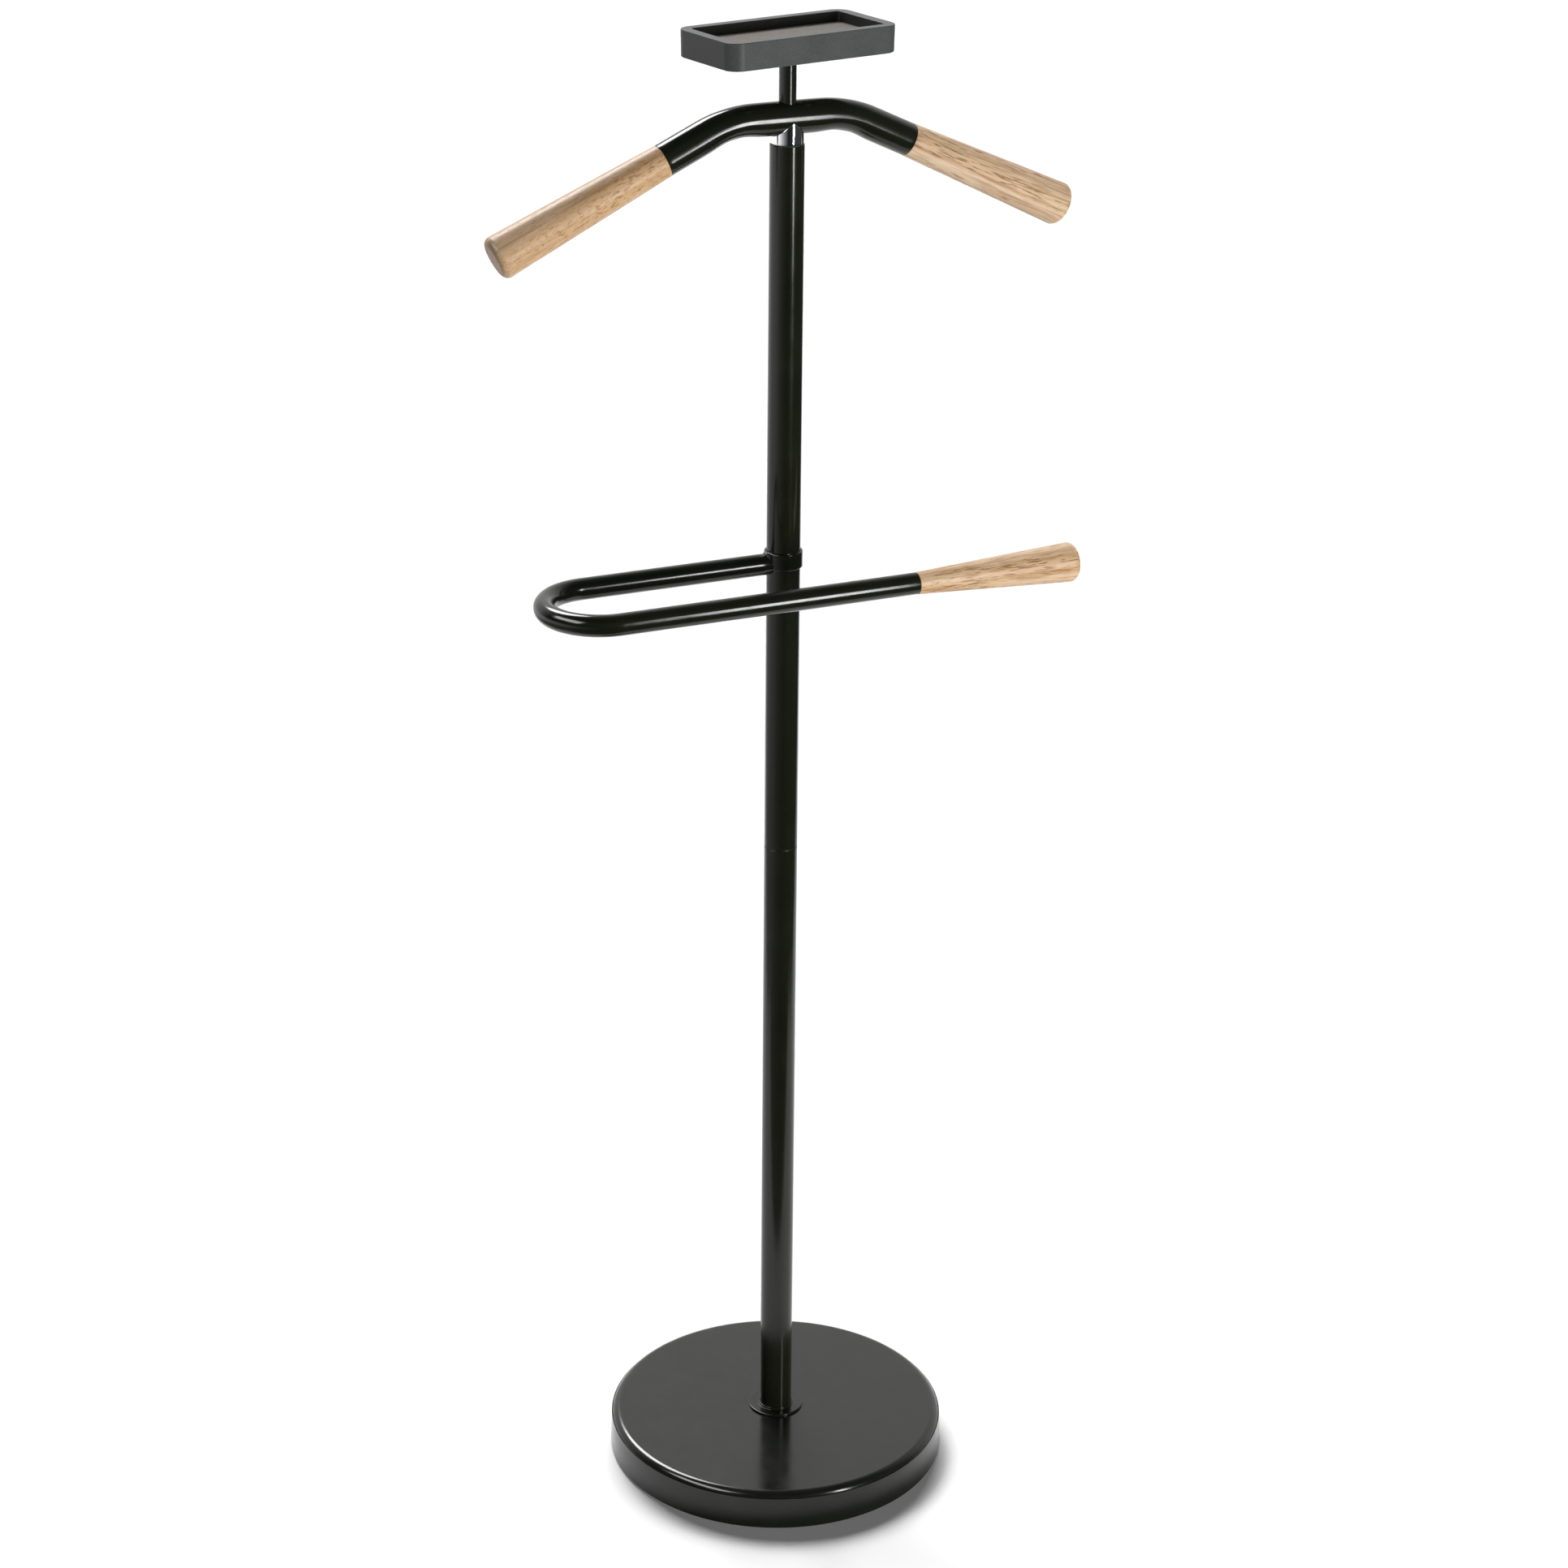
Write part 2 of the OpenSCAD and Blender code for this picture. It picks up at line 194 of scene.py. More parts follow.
def skin(name, loops, body, material, closed=False, replaces=()):
    """A piece stretched over loops of points."""
    return finish_piece(name, mesh_of(name, [loops], closed), body, material, replaces)


def angles(count):
    """Even steps round a circle."""
    return [2 * math.pi * i / count for i in range(count)]


def circle(radius, height, segments):
    return [(radius * math.cos(a), radius * math.sin(a), height) for a in angles(segments)]


def turned_loops(outline, segments):
    """Loops of a turned part from an outline of (radius, height) pairs."""
    return [
        [(0, 0, height)] if radius < TINY else circle(radius, height, segments)
        for radius, height in outline
    ]


def lathe(name, outline, body, material, segments=128, closed=True, replaces=(), place=None):
    """A turned part about the pole's axis, or about the Z axis of the frame place."""
    piece = skin(name, turned_loops(outline, segments), body, material, closed, replaces)
    if place is not None:
        piece.matrix_world = place
        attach(piece, body)
    return piece


def tube_outline(outer, wall, bottom, top, edge):
    """The closed outline of a straight tube whose outer ends are rounded."""
    inner = outer - wall
    return soft_corners([
        (inner, bottom, 0),
        (outer, bottom, edge),
        (outer, top, edge),
        (inner, top, 0),
    ])


def rounded_rectangle(length, width, corner, per_corner=12):
    """Points of a rounded rectangle about the origin, anticlockwise."""
    points = []
    centres = [(1, 1), (-1, 1), (-1, -1), (1, -1)]
    for quarter, (sx, sy) in enumerate(centres):
        for step in range(per_corner + 1):
            a = math.pi / 2 * (quarter + step / per_corner)
            points.append((
                sx * (length / 2 - corner) + corner * math.cos(a),
                sy * (width / 2 - corner) + corner * math.sin(a),
            ))
    return points


def plate_loops(outline, length, width, corner, least_corner, place):
    """Loops of a rounded rectangular plate from an outline of (inset, height) pairs."""
    loops = []
    for inset, height in outline:
        ring = rounded_rectangle(length - 2 * inset, width - 2 * inset, max(corner - inset, least_corner))
        loops.append([place @ Vector((x, y, height)) for x, y in ring])
    return loops


class Path:
    """A line in a plane made of straight runs and bends, followed by distance."""

    def __init__(self, start, heading, across):
        self.points = [Vector(start)]
        self.headings = [Vector(heading).normalized()]
        self.across = Vector(across)
        self.distances = [0.0]

    def _add(self, point, heading):
        self.distances.append(self.distances[-1] + (point - self.points[-1]).length)
        self.points.append(point)
        self.headings.append(heading)

    def straight(self, length, step):
        count = max(1, round(length / step))
        start, heading = self.points[-1].copy(), self.headings[-1].copy()
        for i in range(1, count + 1):
            self._add(start + heading * (length * i / count), heading)

    def bend(self, radius, angle, step):
        """Turns by angle about the plane's normal; a positive angle turns left as seen against it."""
        count = max(2, round(radius * abs(angle) / step))
        heading = self.headings[-1].copy()
        side = self.across.cross(heading) * math.copysign(1, angle)
        centre = self.points[-1] + side * radius
        arm = self.points[-1] - centre
        for i in range(1, count + 1):
            turn = Matrix.Rotation(angle * i / count, 3, self.across)
            self._add(centre + turn @ arm, turn @ heading)


def swept_tube(path, outer, wall, segments, section):
    """Loops of a hollow tube along a path: out along its outside, back along its bore.
    section(distance, angle) scales the outside's radius."""
    total = path.distances[-1]

    def ring(index, radius, scale_at=None):
        point, heading = path.points[index], path.headings[index]
        side = path.across.cross(heading)
        ring_points = []
        for a in angles(segments):
            scale = scale_at(path.distances[index], a) if scale_at else 1.0
            ring_points.append(point + (side * math.cos(a) + path.across * math.sin(a)) * radius * scale)
        return ring_points

    loops = []
    for index, distance in enumerate(path.distances):
        at_end = total - distance < TINY
        loops.append(ring(index, outer - TUBE_EDGE if at_end else outer, section))
    for index in reversed(range(len(path.points))):
        loops.append(ring(index, outer - wall))
    return loops


# ---------------------------------------------------------------- materials


def feed(tree, socket, value):
    """Links a socket to the socket given as value, or sets it to a plain value."""
    if isinstance(value, bpy.types.NodeSocket):
        tree.links.new(value, socket)
    else:
        socket.default_value = value


def add(tree, kind, inputs=None, **settings):
    """Adds a shader node with its settings and inputs."""
    made = tree.nodes.new(kind)
    for key, value in settings.items():
        setattr(made, key, value)
    for key, value in (inputs or {}).items():
        feed(tree, made.inputs[key], value)
    return made


def grey(value):
    return (value, value, value, 1.0)


def start_material(name):
    """A new material with its shader, output and object coordinates."""
    material = bpy.data.materials.new(name)
    material.use_nodes = True
    tree = material.node_tree
    tree.nodes.clear()
    shader = add(tree, "ShaderNodeBsdfPrincipled")
    output = add(tree, "ShaderNodeOutputMaterial")
    tree.links.new(shader.outputs["BSDF"], output.inputs["Surface"])
    coordinates = add(tree, "ShaderNodeTexCoord")
    return material, tree, shader, coordinates.outputs["Object"]


def stretched(tree, vector, scale):
    return add(tree, "ShaderNodeMapping", {"Vector": vector, "Scale": scale}).outputs["Vector"]


def noise(tree, vector, scale, detail=3.0, roughness=0.5, distortion=0.0):
    made = add(tree, "ShaderNodeTexNoise", {
        "Vector": vector, "Scale": scale, "Detail": detail, "Roughness": roughness, "Distortion": distortion,
    })
    return made.outputs["Fac"]


def cells(tree, vector, scale):
    """The distance to the nearest of many scattered points."""
    return add(tree, "ShaderNodeTexVoronoi", {"Vector": vector, "Scale": scale}).outputs["Distance"]


def spread(tree, value, low, high, low_out=0.0, high_out=1.0):
    """Maps a value's range low to high onto low_out to high_out, clamped."""
    made = add(tree, "ShaderNodeMapRange", {
        "Value": value, "From Min": low, "From Max": high, "To Min": low_out, "To Max": high_out,
    })
    return made.outputs["Result"]


def maths(tree, operation, a, b=0.0):
    made = add(tree, "ShaderNodeMath", operation=operation)
    feed(tree, made.inputs[0], a)
    feed(tree, made.inputs[1], b)
    return made.outputs[0]


def blend_colours(tree, share, first, second):
    made = add(tree, "ShaderNodeMix", data_type="RGBA")
    sockets = {socket.identifier: socket for socket in made.inputs}
    feed(tree, sockets["Factor_Float"], share)
    feed(tree, sockets["A_Color"], first)
    feed(tree, sockets["B_Color"], second)
    return next(socket for socket in made.outputs if socket.type == "RGBA")


def scaled(colour, factor, lift=0.0):
    """A colour made lighter or darker."""
    return tuple(min(1.0, c * factor + lift) for c in colour[:3]) + (1.0,)


def bump(tree, shader, layers):
    """Stacks bump layers of (height socket, depth in metres) and links them to the shader."""
    normal = None
    for height, depth in layers:
        inputs = {"Height": height, "Distance": depth, "Strength": 1.0}
        if normal is not None:
            inputs["Normal"] = normal
        normal = add(tree, "ShaderNodeBump", inputs).outputs["Normal"]
    tree.links.new(normal, shader.inputs["Normal"])


def enamel(name, colour, roughness, peel_scale, peel_depth, ior):
    """Stoved black paint: a fine orange peel, slightly uneven gloss and a few dust nibs."""
    material, tree, shader, place = start_material(name)
    cloud = noise(tree, place, 35.0, 4.0)
    nibs = noise(tree, place, 900.0, 1.0)
    nib_share = spread(tree, nibs, 0.74, 0.80)
    base = blend_colours(tree, spread(tree, cloud, 0.3, 0.7, 0.0, 0.5), colour, scaled(colour, 1.5, 0.001))
    base = blend_colours(tree, nib_share, base, scaled(colour, 3.0, 0.01))
    tree.links.new(base, shader.inputs["Base Color"])
    gloss = spread(tree, noise(tree, place, 60.0, 5.0, 0.6), 0.3, 0.7, roughness - 0.035, roughness + 0.035)
    tree.links.new(gloss, shader.inputs["Roughness"])
    shader.inputs["IOR"].default_value = ior
    peel = noise(tree, place, peel_scale, 2.0)
    swell = noise(tree, place, 90.0, 1.0)
    bump(tree, shader, [(peel, peel_depth), (swell, peel_depth * 1.2)])
    return material


def plated(name, colour, roughness, mottle, grain, grain_depth):
    """Plated metal with the grain of its polishing or rolling and a faint mottle."""
    material, tree, shader, place = start_material(name)
    patches = noise(tree, place, 120.0, 5.0, 0.6)
    base = blend_colours(tree, spread(tree, patches, 0.3, 0.7), scaled(colour, 1 - mottle), colour)
    tree.links.new(base, shader.inputs["Base Color"])
    shader.inputs["Metallic"].default_value = 1.0
    lines = noise(tree, stretched(tree, place, grain), 1.0, 3.0)
    rough = spread(tree, lines, 0.25, 0.75, roughness * 0.7, roughness * 1.3)
    tree.links.new(rough, shader.inputs["Roughness"])
    bump(tree, shader, [(lines, grain_depth)])
    return material


def ballast_material():
    """Cast concrete: grey paste with paler grains of sand and pinholes."""
    material, tree, shader, place = start_material("cast_ballast")
    dark_paste, pale_paste, sand = (0.20, 0.19, 0.175, 1), (0.33, 0.32, 0.30, 1), (0.45, 0.42, 0.37, 1)
    paste = noise(tree, place, 60.0, 6.0, 0.65)
    grains = cells(tree, place, 420.0)
    base = blend_colours(tree, spread(tree, paste, 0.3, 0.7), dark_paste, pale_paste)
    base = blend_colours(tree, spread(tree, grains, 0.12, 0.25, 0.6, 0.0), base, sand)
    tree.links.new(base, shader.inputs["Base Color"])
    shader.inputs["Roughness"].default_value = 0.9
    pits = spread(tree, noise(tree, place, 260.0, 3.0), 0.3, 0.42)
    bump(tree, shader, [(pits, 0.3 * MM), (grains, 0.15 * MM)])
    return material


def moulded(name, colour, roughness, grain_scale, grain_depth, specular, fleck=1.3):
    """Moulded plastic or rubber with a spark-eroded grain from its mould."""
    material, tree, shader, place = start_material(name)
    cloud = noise(tree, place, 45.0, 4.0)
    grain = noise(tree, place, grain_scale, 3.0, 0.6)
    pits = cells(tree, place, grain_scale * 0.8)
    base = blend_colours(tree, spread(tree, cloud, 0.3, 0.7), scaled(colour, 0.8), colour)
    base = blend_colours(tree, spread(tree, grain, 0.45, 0.75), base, scaled(colour, fleck))
    tree.links.new(base, shader.inputs["Base Color"])
    rough = spread(tree, grain, 0.3, 0.7, roughness - 0.06, roughness + 0.06)
    tree.links.new(rough, shader.inputs["Roughness"])
    shader.inputs["Specular IOR Level"].default_value = specular
    bump(tree, shader, [(grain, grain_depth), (pits, grain_depth * 0.8)])
    return material


def felt_material():
    """Pressed wool felt: crossing fibres, a soft nap and paler hairs."""
    material, tree, shader, place = start_material("grey_brown_felt")
    fibres = None
    for turn in (0.0, 1.05, 2.1):
        mapped = add(tree, "ShaderNodeMapping", {
            "Vector": place, "Rotation": (0, 0, turn), "Scale": (260.0, 2600.0, 1200.0),
        }).outputs["Vector"]
        layer = noise(tree, mapped, 1.0, 2.0, 0.5, 0.6)
        fibres = layer if fibres is None else maths(tree, "MAXIMUM", fibres, layer)
    dark_wool, wool, hair = (0.085, 0.068, 0.055, 1), (0.130, 0.108, 0.090, 1), (0.22, 0.19, 0.165, 1)
    tufts = noise(tree, place, 240.0, 4.0, 0.6)
    base = blend_colours(tree, spread(tree, tufts, 0.3, 0.7), dark_wool, wool)
    base = blend_colours(tree, spread(tree, fibres, 0.62, 0.82, 0.0, 0.6), base, hair)
    tree.links.new(base, shader.inputs["Base Color"])
    shader.inputs["Roughness"].default_value = 0.95
    shader.inputs["Specular IOR Level"].default_value = 0.15
    shader.inputs["Sheen Weight"].default_value = 0.35
    shader.inputs["Sheen Roughness"].default_value = 0.5
    bump(tree, shader, [(fibres, 0.12 * MM), (tufts, 0.25 * MM)])
    return material


def wood_material(name, pith, phase, pore_rate, warmth):
    """Lacquered pale hardwood with its grain along Z: growth rings about an off-centre pith, brown
    streaks, bands of dark pores along the grain, and slightly darker end grain. pore_rate is higher
    for shorter pores, and warmth is the most of a warm brown that the bands take on."""
    early, late = (0.53, 0.395, 0.262, 1), (0.45, 0.310, 0.185, 1)
    brown_band, pale_band = (0.41, 0.262, 0.138, 1), (0.59, 0.485, 0.385, 1)
    streak, fibre, pore = (0.270, 0.150, 0.068, 1), (0.36, 0.23, 0.13, 1), (0.150, 0.068, 0.030, 1)
    warm, end_grain = (0.43, 0.240, 0.095, 1), (0.40, 0.225, 0.105, 1)
    ring_width, ring_wander = 4.6 * MM, 14 * MM

    material, tree, shader, place = start_material(name)
    moved = add(tree, "ShaderNodeMapping", {
        "Vector": place, "Location": (pith[0], pith[1], phase),
    }).outputs["Vector"]
    split = add(tree, "ShaderNodeSeparateXYZ", {"Vector": moved})
    across = add(tree, "ShaderNodeCombineXYZ", {"X": split.outputs["X"], "Y": split.outputs["Y"]})
    distance = add(tree, "ShaderNodeVectorMath", {0: across.outputs["Vector"]}, operation="LENGTH")
    wander = noise(tree, stretched(tree, moved, (60.0, 60.0, 11.0)), 1.0, 4.0, 0.6)
    wandered = maths(tree, "ADD", distance.outputs["Value"], maths(tree, "MULTIPLY", wander, ring_wander))
    rings = maths(tree, "SINE", maths(tree, "MULTIPLY", wandered, 2 * math.pi / ring_width))
    late_share = maths(tree, "POWER", spread(tree, rings, -1.0, 1.0), 2.6)
    bands = noise(tree, stretched(tree, moved, (85.0, 85.0, 4.0)), 1.0, 2.0, 0.5)
    streaks = noise(tree, stretched(tree, moved, (260.0, 260.0, 9.0)), 1.0, 4.0, 0.6)
    pores = noise(tree, stretched(tree, moved, (820.0, 820.0, pore_rate)), 1.0, 2.0, 0.6)
    fine = noise(tree, stretched(tree, moved, (1900.0, 1900.0, 90.0)), 1.0, 2.0)

    colour = blend_colours(tree, late_share, early, late)
    colour = blend_colours(tree, spread(tree, bands, 0.46, 0.62, 0.0, 0.50), colour, brown_band)
    colour = blend_colours(tree, spread(tree, bands, 0.42, 0.30, 0.0, 0.55), colour, pale_band)
    colour = blend_colours(tree, spread(tree, streaks, 0.50, 0.66, 0.0, 0.80), colour, streak)
    colour = blend_colours(tree, spread(tree, fine, 0.35, 0.7, 0.0, 0.20), colour, fibre)
    pore_share = maths(tree, "MULTIPLY", spread(tree, pores, 0.53, 0.62, 0.0, 0.90),
                       spread(tree, bands, 0.40, 0.56, 0.22, 1.0))
    colour = blend_colours(tree, pore_share, colour, pore)
    colour = blend_colours(tree, spread(tree, bands, 0.2, 0.6, warmth * 0.6, warmth), colour, warm)
    facing = add(tree, "ShaderNodeSeparateXYZ", {
        "Vector": add(tree, "ShaderNodeTexCoord").outputs["Normal"],
    }).outputs["Z"]
    end_share = spread(tree, maths(tree, "ABSOLUTE", facing), 0.55, 0.95, 0.0, 0.45)
    colour = blend_colours(tree, end_share, colour, end_grain)

    tree.links.new(colour, shader.inputs["Base Color"])
    tree.links.new(spread(tree, fine, 0.3, 0.7, 0.40, 0.52), shader.inputs["Roughness"])
    shader.inputs["Specular IOR Level"].default_value = 0.30
    shader.inputs["Coat Weight"].default_value = 0.12
    shader.inputs["Coat Roughness"].default_value = 0.25
    bump(tree, shader, [(maths(tree, "MULTIPLY", pores, -1.0), 0.03 * MM), (fine, 0.02 * MM)])
    return material


def floor_material():
    """The pale, matt studio floor."""
    material, tree, shader, place = start_material("studio_floor")
    shade = spread(tree, noise(tree, place, 0.7, 2.0), 0.3, 0.7, 0.0, 1.0)
    tree.links.new(blend_colours(tree, shade, grey(0.80), grey(0.82)), shader.inputs["Base Color"])
    shader.inputs["Roughness"].default_value = 0.9
    shader.inputs["Specular IOR Level"].default_value = 0.2
    shader.inputs["Emission Color"].default_value = (1.0, 0.99, 1.0, 1.0)
    shader.inputs["Emission Strength"].default_value = FLOOR_GLOW
    return material


base_paint = enamel("base_enamel", (0.0045, 0.0052, 0.0035, 1), 0.17, 1900.0, 0.007 * MM, 1.42)
tube_paint = enamel("tube_enamel", (0.0055, 0.0065, 0.0035, 1), 0.16, 1100.0, 0.005 * MM, 1.40)
chrome = plated("bright_chrome", (0.80, 0.81, 0.83, 1), 0.05, 0.04, (420.0, 420.0, 420.0), 0.018 * MM)
zinc = plated("zinc_plate", (0.56, 0.57, 0.59, 1), 0.36, 0.22, (500.0, 500.0, 60.0), 0.010 * MM)
ballast = ballast_material()
rubber = moulded("pad_rubber", (0.020, 0.020, 0.020, 1), 0.78, 1800.0, 0.03 * MM, 0.35)
nylon = moulded("black_nylon", (0.035, 0.035, 0.036, 1), 0.48, 2200.0, 0.01 * MM, 0.45)
charcoal = moulded("charcoal_plastic", (0.047, 0.051, 0.049, 1), 0.44, 1700.0, 0.022 * MM, 0.24, 1.6)
felt = felt_material()
left_wood = wood_material("left_grip_wood", (31 * MM, -12 * MM), 0.11, 210.0, 0.42)
right_wood = wood_material("right_grip_wood", (-24 * MM, 22 * MM), 0.47, 60.0, 0.05)
rail_wood = wood_material("rail_grip_wood", (15 * MM, 34 * MM), 0.83, 80.0, 0.16)


# ---------------------------------------------------------------- base


def build_base():
    low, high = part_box("base_cover")
    radius, bottom, top = radius_of("base_cover"), low.z, high.z
    bolt_hole_r = 4.5 * MM
    lip, lip_bow = 0.4 * MM, 8 * MM
    waist = radius - BASE_FLARE
    shoulder_r = BASE_EDGE_R * 0.2
    inner = waist - COVER_SHEET
    outline = soft_corners([
        (radius - COVER_SHEET, bottom, lip),
        (radius, bottom, lip),
        (radius - 0.15 * MM, bottom + 4 * MM, lip_bow),
        (waist, top - 0.62 * BASE_EDGE_R, shoulder_r),
        (waist, top, BASE_EDGE_R),
        (bolt_hole_r, top, 0.2 * MM),
        (bolt_hole_r, top - COVER_SHEET, 0),
        (inner, top - COVER_SHEET, BASE_EDGE_R - COVER_SHEET),
        (inner, top - 0.8 * BASE_EDGE_R, shoulder_r),
    ], steps=12)
    lathe("base_shell", outline, "stand", base_paint, 256, replaces=["base_cover"])

    low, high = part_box("pole_flange")
    ring_r, pole_r = radius_of("pole_flange"), radius_of("lower_tube")
    bore, lip_r = pole_r + 0.1 * MM, pole_r + 1.35 * MM
    ring_top = low.z + 1.8 * MM
    outline = soft_corners([
        (bore, low.z, 0),
        (ring_r, low.z, 0.15 * MM),
        (ring_r, ring_top, 0.65 * MM),
        (lip_r, ring_top - 0.15 * MM, 0.5 * MM),
        (lip_r, high.z, 0.5 * MM),
        (bore, high.z, 0.25 * MM),
    ])
    lathe("foot_ring", outline, "stand", tube_paint, 160, replaces=["pole_flange"])

    low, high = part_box("base_feet")
    pad_out = (high.x - low.x) / 2 - PAD_R
    outline = soft_corners([
        (0, 0, 0),
        (PAD_R - 2.2 * MM, 0, 0),
        (PAD_R, 0, 0.5 * MM),
        (PAD_R, high.z, 0.2 * MM),
        (0, high.z, 0),
    ])
    pads = []
    for step in angles(PAD_COUNT):
        place = turned(step) @ Matrix.Translation((pad_out, 0, 0))
        pads.append([[place @ Vector(p) for p in loop] for loop in turned_loops(outline, 48)])
    finish_piece("rubber_pads", mesh_of("rubber_pads", pads), "stand", rubber, ["base_feet"])


# ---------------------------------------------------------------- pole


def build_pole():
    for node, piece in (
        ("lower_tube", "pole_lower"), ("middle_tube", "pole_middle"), ("upper_tube", "pole_upper"),
    ):
        low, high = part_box(node)
        outline = tube_outline(radius_of(node), POLE_WALL, low.z, high.z, TUBE_EDGE)
        lathe(piece, outline, "stand", tube_paint, 128, replaces=[node])


# ---------------------------------------------------------------- trouser rail


def weld_bead(collar_r, tube_r, height, reach_angle, place):
    """Loops of the bead that follows the rail tube's joint with its collar."""
    bead_r, ripple_depth, ripple_rate, taper_rate = 0.9 * MM, 0.10, 20, 6
    steps, around = 48, 12
    loops = []
    for step in range(steps + 1):
        share = step / steps
        a = -reach_angle + 2 * reach_angle * share
        y = tube_r * math.sin(a)
        x = -math.sqrt(collar_r ** 2 - y ** 2)
        outward = Vector((0, math.sin(a), math.cos(a)))
        radial = Vector((x, y, 0)).normalized()
        centre = Vector((x, y, height + tube_r * math.cos(a)))
        ripple = 1 + ripple_depth * math.sin(ripple_rate * a)
        size = bead_r * ripple * min(1.0, 0.25 + taper_rate * min(share, 1 - share))
        loops.append([
            place @ (centre + (outward * math.cos(b) + radial * math.sin(b)) * size) for b in angles(around)
        ])
    ends = [[sum(loop, Vector()) / around] for loop in (loops[0], loops[-1])]
    return [ends[0], *loops, ends[1]]


def build_rail():
    place = turned(RAIL_TURN)
    collar_low, collar_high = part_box("rail_collar")
    collar_r = radius_of("rail_collar")
    bore, edge = 10.05 * MM, 0.9 * MM
    outline = soft_corners([
        (bore, collar_low.z, 0),
        (collar_r, collar_low.z, edge),
        (collar_r, collar_high.z, edge),
        (bore, collar_high.z, 0),
    ])
    lathe("rail_collar_ring", outline, "rail", tube_paint, 128, replaces=["rail_collar"])

    low, high = local_box("trouser_rail", place)
    tube_r = (high.z - low.z) / 2
    height = (high.z + low.z) / 2
    bend_r = (high.y - low.y) / 2 - tube_r
    reach = -low.x - bend_r - tube_r
    path = Path((-collar_r, 0, height), (-1, 0, 0), (0, 0, 1))
    path.straight(reach - collar_r, 6 * MM)
    bend_starts = path.distances[-1]
    path.bend(bend_r, math.pi, 2 * MM)
    bend_ends = path.distances[-1]
    path.straight(reach + high.x - TUBE_EDGE, 12 * MM)
    path.straight(TUBE_EDGE, TUBE_EDGE)

    def section(distance, angle):
        """The bend is a little flatter on its outer side, as a bent tube is."""
        flattening = 0.035
        middle = (bend_starts + bend_ends) / 2
        span = (bend_ends - bend_starts) / 2
        share = max(0.0, 1 - ((distance - middle) / span) ** 4)
        outward = max(0.0, -math.cos(angle))
        return 1 - flattening * share * outward ** 2

    loops = swept_tube(path, tube_r, RAIL_WALL, 56, section)
    for loop in (loops[0], loops[-1]):
        for point in loop:
            point.x = -math.sqrt(collar_r ** 2 - point.y ** 2)
    loops = [[place @ point for point in loop] for loop in loops]
    skin("trouser_rail_tube", loops, "rail", tube_paint,
         closed=True, replaces=["trouser_rail"])

    reach_angle = math.acos(max(-1.0, (collar_low.z + 0.6 * MM - height) / tube_r))
    bead = weld_bead(collar_r, tube_r, height, reach_angle, place)
    skin("rail_weld", bead, "rail", tube_paint)


# ---------------------------------------------------------------- wooden grips


def grip_outline(start_r, end_r, length, edge):
    """A turned grip from its joint face up to its flat, round-edged free end."""
    taper = (end_r - start_r) / length
    return soft_corners([
        (0, 0, 0),
        (start_r, 0, 0.45 * MM),
        (start_r + taper * length * 0.5, length * 0.5, 0),
        (start_r + taper * length, length, edge),
        (0, length, 0),
    ], steps=12)


def build_grip(name, node, body, material, place, start_r):
    low, high = local_box(node, place)
    end_r = (high.x - low.x) / 2
    outline = grip_outline(start_r, end_r, high.z, GRIP_EDGE_R)
    lathe(name, outline, body, material, 96, closed=False, replaces=[node], place=place)


def rail_grip_place():
    """The frame of the rail's grip, with Z along the grip from its joint."""
    low, high = local_box("trouser_rail", turned(RAIL_TURN))
    end = Vector((high.x, low.y + rail_tube_r, (low.z + high.z) / 2))
    return turned(RAIL_TURN) @ Matrix.Translation(end) @ Matrix.Rotation(math.pi / 2, 4, "Y")


def hanger_grip_place(side):
    """The frame of a hanger grip, with Z along the grip from its joint; side 1 is right and -1 left."""
    low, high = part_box("hanger_tube")
    tube_r = (high.y - low.y) / 2
    axis_z = high.z - tube_r
    run = HANGER_BEND_R * math.tan(HANGER_SLOPE / 2)
    # The tube's far end lies where its lowest edge reaches the node's box.
    drop = axis_z - low.z - tube_r * math.cos(HANGER_SLOPE)
    arm_x = HANGER_FLAT + run + drop / math.tan(HANGER_SLOPE)
    centre = Vector((side * arm_x, 0, axis_z - drop))
    return Matrix.Translation(centre) @ Matrix.Rotation(side * (math.pi / 2 + HANGER_SLOPE), 4, "Y")


# ---------------------------------------------------------------- hanger


